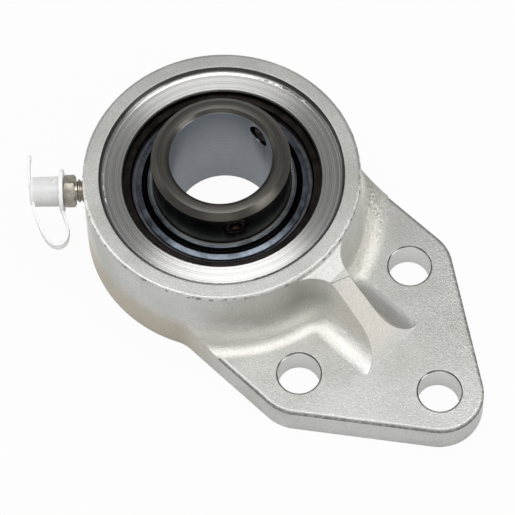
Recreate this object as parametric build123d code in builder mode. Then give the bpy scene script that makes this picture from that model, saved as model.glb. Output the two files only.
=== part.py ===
from build123d import *

import math
import os

os.makedirs("parts", exist_ok=True)

# The origin is the bearing's centre, on the shaft axis Z. The mounting face lies below it, and the
# bracket reaches out along +X.

# Bearing insert
bore_d = 25.0
inner_ring_wall = 4.5
inner_ring_w = 34.1
short_side_w = 14.3  # from the ball plane to the inner ring's back face
inner_land_gap = 2.5  # from the inner ring's surface out to the ball centres
outer_land_gap = 2.8  # from the ball centres out to the outer ring's bore
outer_ring_wall = 3.7  # between its bore and the sphere that lets the insert align itself
outer_ring_w = 15.0
ball_d = 7.938
ball_count = 9
race_conformity = 0.52  # raceway groove radius over ball diameter
ball_play = 0.02
bore_chamfer = 0.9
front_chamfer = 1.5
back_chamfer = 1.0
ring_edge_chamfer = 0.4
lube_offset = 3.8  # grease groove, measured from the ball plane towards the front
lube_groove_w = 2.4
lube_groove_deep = 0.7
lube_hole_d = 1.8

# Ribbon cage
cage_sheet = 0.6
cage_band_w = 3.1
pocket_play = 0.1
rivet_d = 1.2
rivet_head_d = 2.2
rivet_head_h = 0.45
rivet_head_taper = 30.0
rivet_fit = 0.02

# Seals and flingers
seal_sheet = 0.4
seal_inset = 2.3  # from the outer ring's face in to the inner face of the steel shell
seal_rim_deep = 0.6  # how far the shell's rim reaches into the outer ring
seal_rim_fit = 0.04
lip_base_w = 1.3
lip_deep = 0.25  # how far the rubber stands behind the shell
lip_gap = 0.06
flinger_sheet = 0.4
flinger_gap = 0.3
flinger_edge_gap = 1.0  # inside the outer ring's bore
flinger_bead_reach = 1.0  # out from the inner ring
flinger_valley_reach = 2.2
flinger_bead_h = 0.9
flinger_flange_h = 0.3

# Set screws
screw_d = 6.0
screw_len = 4.0
screw_fit = 0.05
screw_from_face = 5.0
screw_inset = 0.25  # outer end below the inner ring's surface
screw_angles = (-34.0, 86.0)
socket_af = 3.0
socket_deep = 2.0
cup_r = 1.6
cup_deep = 0.6
screw_chamfer = 0.4

# Housing
centre_height = 16.0  # bearing centre above the mounting face
rim_height = 27.0
boss_d = 70.0
rim_d = 68.4
plate_t = 9.0
recess_d = 60.5
recess_deep = 1.65
recess_cove_r = 1.3
seat_clearance = 0.03
mouth_chamfer = 0.45
rim_edge_r = 0.8
plate_edge_r = 1.0
boss_cove_r = 7.0
side_blend_r = 8.0
lobe_r = 11.0
bolt_hole_d = 10.5
bolt_chamfer = 0.4
pair_x = 45.0
pair_spacing = 40.0
tip_x = 73.0
load_slot_play = 0.4
load_slot_gap = 0.2

# Rib between the rim and the plate
rib_t = 5.6  # at the plate; its sides have the walls' draft
rib_below_rim = 1.4
rib_shoulder_drop = 0.7
rib_foot_x = 57.3
rib_slope = 40.8
rib_sunk = 2.0  # how far its top runs on inside the rim
rib_corner_r = 8.0  # in plan, where its sides run into the boss

# Lock pin that keeps the outer ring from turning in its seat
pin_d = 2.5
pin_proud = 1.3
pin_embed = 1.75
pin_fit = 0.03
pin_chamfer = 0.2
pin_slot_play = 0.15
tilt_limit = 2.0  # degrees each way

# Grease nipple and its cap, along their own radial axis
nipple_angle = -135.0
thread_d = 6.0
thread_fit = 0.05
thread_chamfer = 0.5
thread_end_r = 29.6
tap_runout = 0.6  # tapped hole past the thread's end
grease_way_d = 3.0
hex_af = 7.0
hex_chamfer_angle = 30.0
hex_w = 2.9
hex_start = 1.9  # gap between the boss wall and the hexagon
neck_d = 4.8
neck_w = 2.2
head_d = 6.4
head_cone_w = 0.8
head_band_w = 1.2
head_w = 4.3
head_tip_d = 4.2
grease_bore_d = 2.6
grease_step_d = 1.4
orifice_d = 1.6
orifice_w = 0.7
check_ball_d = 2.3
check_ball_play = 0.03
spring_d = 2.1
spring_wire = 0.3
spring_turns = 4.0
spring_len = 4.2
cap_d = 7.5
cap_len = 7.3
cap_wall_end = 0.8
cap_fit = 0.1
cap_ring_d = 11.0
cap_ring_t = 0.95
cap_ring_gap = 0.08
strap_t = 0.7
strap_w = 2.6
strap_reach = 13.0  # how far the loop goes out beside the nipple
strap_turn_r = 2.9
strap_turn_rise = 0.7
strap_lean = 2.2  # how far the loop leans towards the housing
strap_meets_y = 0.95  # where it comes back over the cup's end, beside the nipple's axis
strap_sink = 0.18  # how deep it is moulded into the cup's end
tab_len = 9.6

# Sizes that follow from the ones above
bore_r = bore_d / 2
inner_ring_r = bore_r + inner_ring_wall
pitch_r = inner_ring_r + inner_land_gap
land_r = pitch_r + outer_land_gap
outer_ring_r = land_r + outer_ring_wall
ball_r = ball_d / 2
race_r = race_conformity * ball_d
boss_r = boss_d / 2
rim_r = rim_d / 2
seat_r = outer_ring_r + seat_clearance
front_z = inner_ring_w - short_side_w
back_z = -short_side_w
base_z = -centre_height
plate_z = base_z + plate_t
rim_z = base_z + rim_height
floor_z = rim_z - recess_deep
mouth_r = math.sqrt(seat_r**2 - floor_z**2)
screw_z = front_z - screw_from_face
seal_offset = outer_ring_w / 2 - seal_inset
ball_step = 360 / ball_count
wall_slope = math.atan2(boss_r - rim_r, rim_height)
draft = math.degrees(wall_slope)
side_y = pair_spacing / 2 + lobe_r
tip_slant = math.degrees(math.atan2(tip_x - pair_x, pair_spacing / 2))


def radial_plane(angle, z):
    """Frame at height z with its z axis pointing outwards at the given angle and its y axis up."""
    turn = math.radians(angle)
    out = Vector(math.cos(turn), math.sin(turn), 0)
    return Plane(origin=(0, 0, z), x_dir=Vector(0, 0, 1).cross(out), z_dir=out)


def write(builder, label):
    builder.part.label = label
    export_step(builder.part, f"parts/{label}.step")


# Housing
with BuildSketch(Plane.XY.offset(base_z)) as flange_outline:
    with BuildLine():
        straight_side = Line((0, -side_y), (pair_x, -side_y))
        pair_corner = CenterArc((pair_x, -pair_spacing / 2), lobe_r, -90, 90 - tip_slant)
        tip_corner = CenterArc((tip_x, 0), lobe_r, -tip_slant, tip_slant)
        Line(pair_corner @ 1, tip_corner @ 0)
        Line((0, 0), straight_side @ 0)
        mirror(about=Plane.XZ)
    make_face()
    Circle(boss_r)
    beside_boss = flange_outline.vertices().filter_by(lambda v: 0 < v.X < pair_x / 2)
    fillet(beside_boss.group_by(Axis.X)[-1], side_blend_r)

# Boss and rib above the plate, with one cove round the foot of both. They are drawn on a plate with
# room to spare, so that the cove is whole, and then cut to the rib's slope and to the outline. What
# they keep below the plate's top fills its rounded rim where the cove meets it.
foot_r = boss_r - plate_t * math.tan(wall_slope)
cove_reach = boss_cove_r * math.tan((math.pi / 2 - wall_slope) / 2)
rib_shoulder_z = rim_z - rib_below_rim - rib_shoulder_drop
rib_shoulder_x = rib_foot_x - (rib_shoulder_z - plate_z) / math.tan(math.radians(rib_slope))
spare = 2 * rib_foot_x


def at_foot(edge):
    """Edges where the boss and the rib stand on the plate, short of the spare plate's own rim."""
    on_top = all(abs((edge @ t).Z - plate_z) < 0.001 for t in (0, 0.5, 1))
    return on_top and abs((edge @ 0.5).X) < spare - 1 and abs((edge @ 0.5).Y) < spare - 1


with BuildPart() as boss_and_rib:
    with BuildSketch(Plane.XY.offset(plate_z)) as plan:
        Circle(foot_r)
        Rectangle(spare, rib_t, align=(Align.MIN, Align.CENTER))
        fillet(plan.vertices().filter_by(lambda v: 0 < v.X < boss_r), rib_corner_r)
    extrude(amount=rim_z - plate_z, taper=draft)
    with BuildSketch(Plane.XY.offset(plate_z - plate_edge_r)):
        Rectangle(2 * spare, 2 * spare)
    extrude(amount=plate_edge_r)
    fillet(boss_and_rib.edges().filter_by(at_foot), boss_cove_r)
    with BuildSketch(Plane.XZ):
        Polygon(
            (-spare, plate_z - plate_edge_r),
            (spare, plate_z - plate_edge_r),
            (spare, plate_z),
            (rib_foot_x, plate_z),
            (rib_shoulder_x, rib_shoulder_z),
            (rim_r - rib_sunk, rib_shoulder_z + rib_shoulder_drop),
            (-spare, rib_shoulder_z + rib_shoulder_drop),
            align=None,
        )
    extrude(amount=spare, both=True, mode=Mode.INTERSECT)
    with BuildSketch(Plane.XY.offset(plate_z - plate_edge_r)):
        Circle(foot_r + cove_reach)
        Rectangle(rib_foot_x, rib_t + 3 * boss_cove_r, align=(Align.MIN, Align.CENTER))
    extrude(amount=rim_height, mode=Mode.INTERSECT)
    extrude(flange_outline.sketch, amount=rim_height, taper=draft, mode=Mode.INTERSECT)

with BuildPart() as housing:
    extrude(flange_outline.sketch, amount=plate_t, taper=draft)
    fillet(housing.faces().sort_by(Axis.Z)[-1].edges(), plate_edge_r)
    with BuildSketch(Plane.XZ):
        Polygon((0, base_z), (boss_r, base_z), (rim_r, rim_z), (0, rim_z), align=None)
    revolve(axis=Axis.Z)
    add(boss_and_rib.part)
    fillet(housing.faces().sort_by(Axis.Z)[-1].edges(), rim_edge_r)

    # Turned recess in the front, with a cove where its wall meets its floor
    with BuildSketch(Plane.XZ):
        with BuildLine():
            Line((0, rim_z), (recess_d / 2, rim_z))
            Line((recess_d / 2, rim_z), (recess_d / 2, floor_z + recess_cove_r))
            TangentArc(
                (recess_d / 2, floor_z + recess_cove_r),
                (recess_d / 2 - recess_cove_r, floor_z),
                tangent=(0, -1),
            )
            Line((recess_d / 2 - recess_cove_r, floor_z), (mouth_r + mouth_chamfer, floor_z))
            Line((mouth_r + mouth_chamfer, floor_z), (mouth_r, floor_z - mouth_chamfer))
            Line((mouth_r, floor_z - mouth_chamfer), (0, floor_z - mouth_chamfer))
            Line((0, floor_z - mouth_chamfer), (0, rim_z))
        make_face()
    revolve(axis=Axis.Z, mode=Mode.SUBTRACT)

    # Spherical seat, open to the back by a bore as wide as the front mouth
    Sphere(seat_r, mode=Mode.SUBTRACT)
    Cylinder(
        mouth_r, centre_height, align=(Align.CENTER, Align.CENTER, Align.MAX), mode=Mode.SUBTRACT
    )

    # Two slots at the back let the insert in edgeways, and a groove in one takes the lock pin
    Box(
        outer_ring_w + 2 * load_slot_play,
        2 * (outer_ring_r + load_slot_gap),
        centre_height,
        align=(Align.CENTER, Align.CENTER, Align.MAX),
        mode=Mode.SUBTRACT,
    )
    pin_reach = outer_ring_r + pin_proud
    pin_swing = pin_reach * math.sin(math.radians(tilt_limit))
    with Locations((0, 0, base_z)):
        Box(
            pin_d + 2 * pin_slot_play,
            pin_reach + 2 * pin_slot_play,
            centre_height + pin_d / 2 + pin_swing + 2 * pin_slot_play,
            align=(Align.CENTER, Align.MIN, Align.MIN),
            mode=Mode.SUBTRACT,
        )

    # Bolt holes
    with Locations(Plane.XY.offset(base_z)):
        with Locations((pair_x, pair_spacing / 2), (pair_x, -pair_spacing / 2), (tip_x, 0)):
            Cylinder(
                bolt_hole_d / 2,
                plate_t,
                align=(Align.CENTER, Align.CENTER, Align.MIN),
                mode=Mode.SUBTRACT,
            )
    hole_rims = housing.edges().filter_by(
        lambda e: e.geom_type == GeomType.CIRCLE and abs(e.radius - bolt_hole_d / 2) < 0.01
    )
    chamfer(hole_rims, bolt_chamfer)

    # Tapped hole for the grease nipple, and the grease way on into the seat
    with Locations(radial_plane(nipple_angle, lube_offset).offset(thread_end_r - tap_runout)):
        Cylinder(
            thread_d / 2, boss_r, align=(Align.CENTER, Align.CENTER, Align.MIN), mode=Mode.SUBTRACT
        )
    with Locations(radial_plane(nipple_angle, lube_offset).offset(pitch_r)):
        Cylinder(
            grease_way_d / 2, boss_r / 2, align=(Align.CENTER, Align.CENTER, Align.MIN), mode=Mode.SUBTRACT
        )
write(housing, "housing")

# Outer ring
shell_groove_r = land_r + seal_rim_deep
with BuildPart() as outer_ring:
    Sphere(outer_ring_r)
    Cylinder(outer_ring_r, outer_ring_w, mode=Mode.INTERSECT)
    Cylinder(land_r, outer_ring_w, mode=Mode.SUBTRACT)
    chamfer(outer_ring.edges().filter_by(GeomType.CIRCLE), ring_edge_chamfer)
    with BuildSketch(Plane.XZ):
        with Locations((pitch_r + ball_r + ball_play - race_r, 0)):
            Circle(race_r)
        for side in (-1, 1):
            with Locations((land_r, side * (seal_offset + seal_sheet / 2))):
                Rectangle(2 * seal_rim_deep, seal_sheet + 2 * seal_rim_fit)
        with Locations((outer_ring_r, lube_offset)):
            Rectangle(2 * lube_groove_deep, lube_groove_w)
    revolve(axis=Axis.Z, mode=Mode.SUBTRACT)
    for angle in (nipple_angle, nipple_angle + 180):
        with Locations(radial_plane(angle, lube_offset).offset(pitch_r)):
            Cylinder(
                lube_hole_d / 2,
                outer_ring_r,
                align=(Align.CENTER, Align.CENTER, Align.MIN),
                mode=Mode.SUBTRACT,
            )
    with Locations(radial_plane(90, 0).offset(outer_ring_r - pin_embed - pin_fit)):
        Cylinder(
            pin_d / 2 + pin_fit,
            outer_ring_r,
            align=(Align.CENTER, Align.CENTER, Align.MIN),
            mode=Mode.SUBTRACT,
        )
write(outer_ring, "outer_ring")

with BuildPart() as lock_pin:
    with Locations(radial_plane(90, 0).offset(outer_ring_r - pin_embed)):
        Cylinder(pin_d / 2, pin_embed + pin_proud, align=(Align.CENTER, Align.CENTER, Align.MIN))
    chamfer(lock_pin.edges().filter_by(GeomType.CIRCLE), pin_chamfer)
write(lock_pin, "lock_pin")

# Inner ring
with BuildPart() as inner_ring:
    with BuildSketch(Plane.XZ):
        Polygon(
            (bore_r + bore_chamfer, back_z),
            (inner_ring_r - back_chamfer, back_z),
            (inner_ring_r, back_z + back_chamfer),
            (inner_ring_r, front_z - front_chamfer),
            (inner_ring_r - front_chamfer, front_z),
            (bore_r + bore_chamfer, front_z),
            (bore_r, front_z - bore_chamfer),
            (bore_r, back_z + bore_chamfer),
            align=None,
        )
        with Locations((pitch_r - ball_r - ball_play + race_r, 0)):
            Circle(race_r, mode=Mode.SUBTRACT)
    revolve(axis=Axis.Z)
    for angle in screw_angles:
        with Locations(radial_plane(angle, screw_z)):
            Cylinder(
                screw_d / 2,
                2 * inner_ring_r,
                align=(Align.CENTER, Align.CENTER, Align.MIN),
                mode=Mode.SUBTRACT,
            )
write(inner_ring, "inner_ring")

for number, angle in enumerate(screw_angles, start=1):
    with BuildPart() as set_screw:
        with Locations(radial_plane(angle, screw_z).offset(inner_ring_r - screw_inset)):
            Cylinder(
                screw_d / 2 - screw_fit, screw_len, align=(Align.CENTER, Align.CENTER, Align.MAX)
            )
        chamfer(set_screw.edges().filter_by(GeomType.CIRCLE), screw_chamfer)
        with BuildSketch(radial_plane(angle, screw_z).offset(inner_ring_r - screw_inset)):
            RegularPolygon(socket_af / 2, 6, major_radius=False)
        extrude(amount=-socket_deep, mode=Mode.SUBTRACT)
        with Locations(radial_plane(angle, screw_z).offset(inner_ring_r - screw_inset - screw_len)):
            Cone(
                cup_r, 0, cup_deep, align=(Align.CENTER, Align.CENTER, Align.MIN), mode=Mode.SUBTRACT
            )
    write(set_screw, f"set_screw_{number}")

# Balls
for number in range(ball_count):
    with BuildPart() as ball:
        with Locations(radial_plane(number * ball_step, 0).offset(pitch_r)):
            Sphere(ball_r)
    write(ball, f"ball_{number + 1}")

# Cage: two pressed ribbons with a cup over each ball, riveted together between the cups
pocket_r = ball_r + pocket_play
cage_half_h = pocket_r + cage_sheet
with BuildPart() as cage_front:
    with BuildSketch() as ribbon:
        Circle(pitch_r + cage_band_w / 2)
        Circle(pitch_r - cage_band_w / 2, mode=Mode.SUBTRACT)
    extrude(amount=cage_sheet)
    with PolarLocations(pitch_r, ball_count):
        Sphere(pocket_r + cage_sheet)
    extrude(ribbon.sketch, amount=cage_half_h, mode=Mode.INTERSECT)
    with PolarLocations(pitch_r, ball_count):
        Sphere(pocket_r, mode=Mode.SUBTRACT)
    with PolarLocations(pitch_r, ball_count, start_angle=ball_step / 2):
        Cylinder(rivet_d / 2 + rivet_fit, 2 * cage_half_h, mode=Mode.SUBTRACT)
write(cage_front, "cage_front")

with BuildPart() as cage_back:
    mirror(cage_front.part, about=Plane.XY)
write(cage_back, "cage_back")

with BuildPart() as cage_rivets:
    with PolarLocations(pitch_r, ball_count, start_angle=ball_step / 2):
        Cylinder(rivet_d / 2, 2 * cage_sheet)
    for side in (-1, 1):
        with BuildSketch(Plane.XY.offset(side * cage_sheet)):
            with PolarLocations(pitch_r, ball_count, start_angle=ball_step / 2):
                Circle(rivet_head_d / 2)
        extrude(amount=side * rivet_head_h, taper=rivet_head_taper)
write(cage_rivets, "cage_rivets")

# Seals: a steel shell held in the outer ring, with a rubber lip on its inner edge
shell_out_z = seal_offset + seal_sheet
lip_r = inner_ring_r + lip_gap
lip_base_r = lip_r + lip_base_w
with BuildPart() as seal_shell_front:
    with BuildSketch(Plane.XZ):
        Polygon(
            (lip_base_r, seal_offset),
            (shell_groove_r - seal_rim_fit, seal_offset),
            (shell_groove_r - seal_rim_fit, shell_out_z),
            (lip_base_r, shell_out_z),
            align=None,
        )
    revolve(axis=Axis.Z)
write(seal_shell_front, "seal_shell_front")

with BuildPart() as seal_lip_front:
    with BuildSketch(Plane.XZ):
        Polygon(
            (lip_base_r, seal_offset - lip_deep),
            (lip_base_r, shell_out_z),
            (lip_base_r - lip_base_w / 2, shell_out_z),
            (lip_r, shell_out_z - lip_deep / 2),
            (lip_r, seal_offset),
            (lip_base_r - lip_base_w / 2, seal_offset - lip_deep),
            align=None,
        )
    revolve(axis=Axis.Z)
write(seal_lip_front, "seal_lip_front")

# Flinger: pressed sheet on the inner ring, with a rolled bead, a valley and an outer flange
flinger_low_z = shell_out_z + flinger_gap
valley_half_w = 0.3
flinger_r = land_r - flinger_edge_gap
flinger_bead_r = inner_ring_r + flinger_bead_reach
flinger_valley_r = inner_ring_r + flinger_valley_reach
flange_start_r = flinger_valley_r + valley_half_w + flinger_sheet
with BuildPart() as flinger_front:
    with BuildSketch(Plane.XZ):
        Polygon(
            (inner_ring_r, flinger_low_z),
            (inner_ring_r + flinger_sheet, flinger_low_z),
            (inner_ring_r + flinger_sheet, flinger_low_z + flinger_bead_h - flinger_sheet),
            (flinger_bead_r + flinger_sheet, flinger_low_z + flinger_bead_h - flinger_sheet),
            (flinger_valley_r - valley_half_w, flinger_low_z),
            (flinger_valley_r + valley_half_w, flinger_low_z),
            (flange_start_r, flinger_low_z + flinger_flange_h),
            (flinger_r, flinger_low_z + flinger_flange_h),
            (flinger_r, flinger_low_z + flinger_flange_h + flinger_sheet),
            (flange_start_r - flinger_sheet / 3, flinger_low_z + flinger_flange_h + flinger_sheet),
            (flinger_valley_r + valley_half_w / 2, flinger_low_z + flinger_sheet),
            (flinger_valley_r - valley_half_w / 2, flinger_low_z + flinger_sheet),
            (flinger_bead_r + flinger_sheet, flinger_low_z + flinger_bead_h + flinger_sheet),
            (inner_ring_r + flinger_sheet / 2, flinger_low_z + flinger_bead_h + flinger_sheet),
            (inner_ring_r, flinger_low_z + flinger_bead_h + flinger_sheet / 2),
            align=None,
        )
    revolve(axis=Axis.Z)
write(flinger_front, "flinger_front")

for front, label in (
    (seal_shell_front, "seal_shell_back"),
    (seal_lip_front, "seal_lip_back"),
    (flinger_front, "flinger_back"),
):
    with BuildPart() as back:
        mirror(front.part, about=Plane.XY)
    write(back, label)

# Grease nipple. Its profile is drawn along its axis, from the thread's end to the tip.
wall_r = boss_r - (lube_offset - base_z) * math.tan(wall_slope)
hex_r0 = wall_r + hex_start
hex_r1 = hex_r0 + hex_w
head_r0 = hex_r1 + neck_w
head_r1 = head_r0 + head_w
bore_end_r = head_r1 - orifice_w
seat_drop = math.sqrt((check_ball_d / 2) ** 2 - (orifice_d / 2) ** 2)
check_ball_r = bore_end_r - seat_drop - check_ball_play
spring_top_r = check_ball_r - check_ball_d / 2 - check_ball_play
spring_low_r = spring_top_r - spring_len
nipple_plane = radial_plane(nipple_angle, lube_offset)
# Turning plane of the nipple: its first axis is the radius from the nipple's axis, its second the axis
turning_plane = Plane(origin=nipple_plane.origin, x_dir=(0, 0, 1), z_dir=nipple_plane.x_dir)
nipple_axis = Axis(nipple_plane.origin, nipple_plane.z_dir)

hex_corner_r = hex_af / math.sqrt(3)
hex_chamfer_w = (hex_corner_r - hex_af / 2) * math.tan(math.radians(hex_chamfer_angle))
with BuildPart() as nipple_hexagon:
    with BuildSketch(nipple_plane.offset(hex_r0)):
        RegularPolygon(hex_af / 2, 6, major_radius=False)
    extrude(amount=hex_w)
    with BuildSketch(turning_plane):
        Polygon(
            (0, hex_r0),
            (hex_af / 2, hex_r0),
            (hex_corner_r, hex_r0 + hex_chamfer_w),
            (hex_corner_r, hex_r1 - hex_chamfer_w),
            (hex_af / 2, hex_r1),
            (0, hex_r1),
            align=None,
        )
    revolve(axis=nipple_axis, mode=Mode.INTERSECT)

with BuildPart() as grease_nipple:
    with BuildSketch(turning_plane):
        Polygon(
            (0, thread_end_r),
            (thread_d / 2 - thread_fit - thread_chamfer, thread_end_r),
            (thread_d / 2 - thread_fit, thread_end_r + thread_chamfer),
            (thread_d / 2 - thread_fit, hex_r0),
            (neck_d / 2, hex_r0),
            (neck_d / 2, head_r0),
            (head_d / 2, head_r0 + head_cone_w),
            (head_d / 2, head_r0 + head_cone_w + head_band_w),
            (head_tip_d / 2, head_r1),
            (0, head_r1),
            align=None,
        )
    revolve(axis=nipple_axis)
    add(nipple_hexagon.part)
    with BuildSketch(turning_plane):
        Polygon(
            (0, thread_end_r),
            (grease_step_d / 2, thread_end_r),
            (grease_step_d / 2, spring_low_r),
            (grease_bore_d / 2, spring_low_r),
            (grease_bore_d / 2, bore_end_r),
            (orifice_d / 2, bore_end_r),
            (orifice_d / 2, head_r1),
            (0, head_r1),
            align=None,
        )
    revolve(axis=nipple_axis, mode=Mode.SUBTRACT)
write(grease_nipple, "grease_nipple")

with BuildPart() as nipple_ball:
    with Locations(nipple_plane.offset(check_ball_r)):
        Sphere(check_ball_d / 2)
write(nipple_ball, "nipple_ball")

spring_pitch = (spring_len - spring_wire) / spring_turns
with BuildPart() as nipple_spring:
    with BuildLine():
        coil = Helix(
            spring_pitch,
            spring_len - spring_wire,
            (spring_d - spring_wire) / 2,
            center=nipple_plane.offset(spring_low_r + spring_wire / 2).origin,
            direction=nipple_plane.z_dir,
        )
    with BuildSketch(Plane(origin=coil @ 0, z_dir=coil % 0)):
        Circle(spring_wire / 2)
    sweep(path=coil)
write(nipple_spring, "nipple_spring")

# Dust cap: a cup over the nipple's head, a strap and a ring round its neck, moulded in one
cap_ring_r0 = hex_r1 + cap_ring_gap
cap_r0 = cap_ring_r0 + cap_ring_t + cap_ring_gap
cap_r1 = cap_r0 + cap_len
cap_bore_r = head_d / 2 + cap_fit
strap_plane = Plane(origin=nipple_plane.origin, x_dir=nipple_plane.z_dir, z_dir=(0, 0, 1))
with BuildPart() as nipple_cap:
    with Locations(nipple_plane.offset(cap_ring_r0)):
        Cylinder(cap_ring_d / 2, cap_ring_t, align=(Align.CENTER, Align.CENTER, Align.MIN))
    with Locations(nipple_plane.offset(cap_r0)):
        Cylinder(cap_d / 2, cap_len, align=(Align.CENTER, Align.CENTER, Align.MIN))
    with BuildSketch(strap_plane):
        with BuildLine():
            out = Line(
                (cap_ring_r0 + cap_ring_t / 2, cap_ring_d / 2 - strap_t),
                (cap_ring_r0 - strap_lean, strap_reach),
            )
            turn = TangentArc(out @ 1, (out @ 1) + (2 * strap_turn_r, strap_turn_rise), tangent=out % 1)
            back_run = TangentArc(turn @ 1, (cap_r1 - strap_sink, strap_meets_y), tangent=turn % 1)
            Line(back_run @ 1, (cap_r1 + strap_t, -tab_len))
        trace(line_width=strap_t)
    extrude(amount=strap_w / 2, both=True)
    with Locations(nipple_plane.offset(cap_ring_r0)):
        Cylinder(
            cap_bore_r,
            cap_r1 - cap_ring_r0 - cap_wall_end,
            align=(Align.CENTER, Align.CENTER, Align.MIN),
            mode=Mode.SUBTRACT,
        )
write(nipple_cap, "nipple_cap")
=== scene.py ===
import math

import bpy
from mathutils import Matrix, Vector


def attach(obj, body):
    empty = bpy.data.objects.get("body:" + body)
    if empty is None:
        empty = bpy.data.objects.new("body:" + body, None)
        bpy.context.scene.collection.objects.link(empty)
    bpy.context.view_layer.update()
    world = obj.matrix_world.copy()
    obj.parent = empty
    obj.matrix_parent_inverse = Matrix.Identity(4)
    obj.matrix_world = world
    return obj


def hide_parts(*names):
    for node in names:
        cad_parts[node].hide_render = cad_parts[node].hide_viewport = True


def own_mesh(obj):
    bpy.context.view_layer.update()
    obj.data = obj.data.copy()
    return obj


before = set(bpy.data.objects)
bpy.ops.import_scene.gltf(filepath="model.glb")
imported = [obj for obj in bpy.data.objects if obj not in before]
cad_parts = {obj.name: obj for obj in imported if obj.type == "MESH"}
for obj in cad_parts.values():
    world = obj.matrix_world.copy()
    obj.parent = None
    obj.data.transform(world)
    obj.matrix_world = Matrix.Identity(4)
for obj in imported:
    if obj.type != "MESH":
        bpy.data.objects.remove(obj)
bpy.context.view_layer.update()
scene = bpy.context.scene
mm = 0.001  # the dictionaries below are in millimetres and degrees, and Blender is in metres
print("frame loaded,", len(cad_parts), "nodes")

# Camera at the photograph's viewing angle

cameraSettings = {
    "place": (206.3932, -188.798, 530.8593),
    "turn": (26.22307, 1.00622, 43.87536),
    "lens": 168.2127,
    "sensor": 36.0,
    "clip": (10, 20000),
}


def makeCamera(s):
    lens = bpy.data.cameras.new("studioCamera")
    lens.lens = s["lens"]
    lens.sensor_width = s["sensor"]
    lens.clip_start, lens.clip_end = [distance * mm for distance in s["clip"]]
    camera = bpy.data.objects.new("studioCamera", lens)
    scene.collection.objects.link(camera)
    camera.location = Vector(s["place"]) * mm
    camera.rotation_euler = [math.radians(angle) for angle in s["turn"]]
    scene.camera = camera
    scene.view_settings.view_transform = "Standard"


def linearColour(hexColour):
    parts = [int(hexColour[i:i + 2], 16) / 255 for i in (1, 3, 5)]
    return (*[p / 12.92 if p <= 0.04045 else ((p + 0.055) / 1.055) ** 2.4 for p in parts], 1.0)


def addNode(tree, kind, settings=None, links=None):
    # settings are attributes or input values, links are input name or number to a socket
    node = tree.nodes.new(kind)
    for key, value in (settings or {}).items():
        if isinstance(key, str) and hasattr(node, key):
            setattr(node, key, value)
        else:
            node.inputs[key].default_value = value
    for key, source in (links or {}).items():
        tree.links.new(source, node.inputs[key])
    return node


def newMaterial(name):
    material = bpy.data.materials.new(name)
    material.use_nodes = True
    material.node_tree.nodes.clear()
    return material, material.node_tree


# Light: a large softbox overhead, three weaker ones beside the object, and a white tent

lightSettings = {
    "tent": "#ffffff",
    "tentLight": 0.65,  # what the tent gives to matt surfaces
    "tentShine": 0.45,  # what metal sees of it
    "lamps": (
        # name, place, aimed at, size x, size y, watts
        ("overheadSoftbox", (0, 0, 950), (0, 0, 0), 620, 620, 6.7),
        ("frontSoftbox", (600, -650, 450), (20, 0, 0), 600, 450, 0.6),
        ("leftSoftbox", (-850, -500, 450), (20, 0, 0), 500, 500, 0.8),
        ("rightSoftbox", (900, 250, 500), (20, 0, 0), 500, 600, 2.8),
    ),
}


def makeLamps(s):
    for name, place, aim, sizeX, sizeY, watts in s["lamps"]:
        lamp = bpy.data.lights.new(name, "AREA")
        lamp.shape = "RECTANGLE"
        lamp.size, lamp.size_y = sizeX * mm, sizeY * mm
        lamp.energy = watts
        stand = bpy.data.objects.new(name, lamp)
        scene.collection.objects.link(stand)
        stand.location = Vector(place) * mm
        stand.rotation_euler = (Vector(place) - Vector(aim)).to_track_quat("Z", "Y").to_euler()


def makeTent(s):
    # the camera, also through the plastic, sees white, and the object is lit and mirrored less brightly
    world = bpy.data.worlds.new("whiteTent")
    world.use_nodes = True
    scene.world = world
    tree = world.node_tree
    tree.nodes.clear()
    tent = linearColour(s["tent"])
    paths = addNode(tree, "ShaderNodeLightPath")
    seen = addNode(tree, "ShaderNodeMath", {"operation": "MAXIMUM"},
                   {0: paths.outputs["Is Camera Ray"], 1: paths.outputs["Is Transmission Ray"]})
    matt = addNode(tree, "ShaderNodeBackground", {"Color": tent, "Strength": s["tentLight"]})
    shine = addNode(tree, "ShaderNodeBackground", {"Color": tent, "Strength": s["tentShine"]})
    white = addNode(tree, "ShaderNodeBackground", {"Color": tent, "Strength": 1.0})
    inner = addNode(tree, "ShaderNodeMixShader",
                    links={0: paths.outputs["Is Glossy Ray"], 1: matt.outputs[0], 2: shine.outputs[0]})
    whole = addNode(tree, "ShaderNodeMixShader",
                    links={0: seen.outputs[0], 1: inner.outputs[0], 2: white.outputs[0]})
    addNode(tree, "ShaderNodeOutputWorld", links={"Surface": whole.outputs[0]})


# "below" leaves a hair of air under the mounting face, so that the two never flicker
floorSettings = {
    "size": 6000, "below": 16.02, "paper": "#b4b4b4",
    "glow": "#ffffff", "cameraGlow": 0.95, "metalGlow": 0.24,  # the glow's share for each
}


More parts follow.
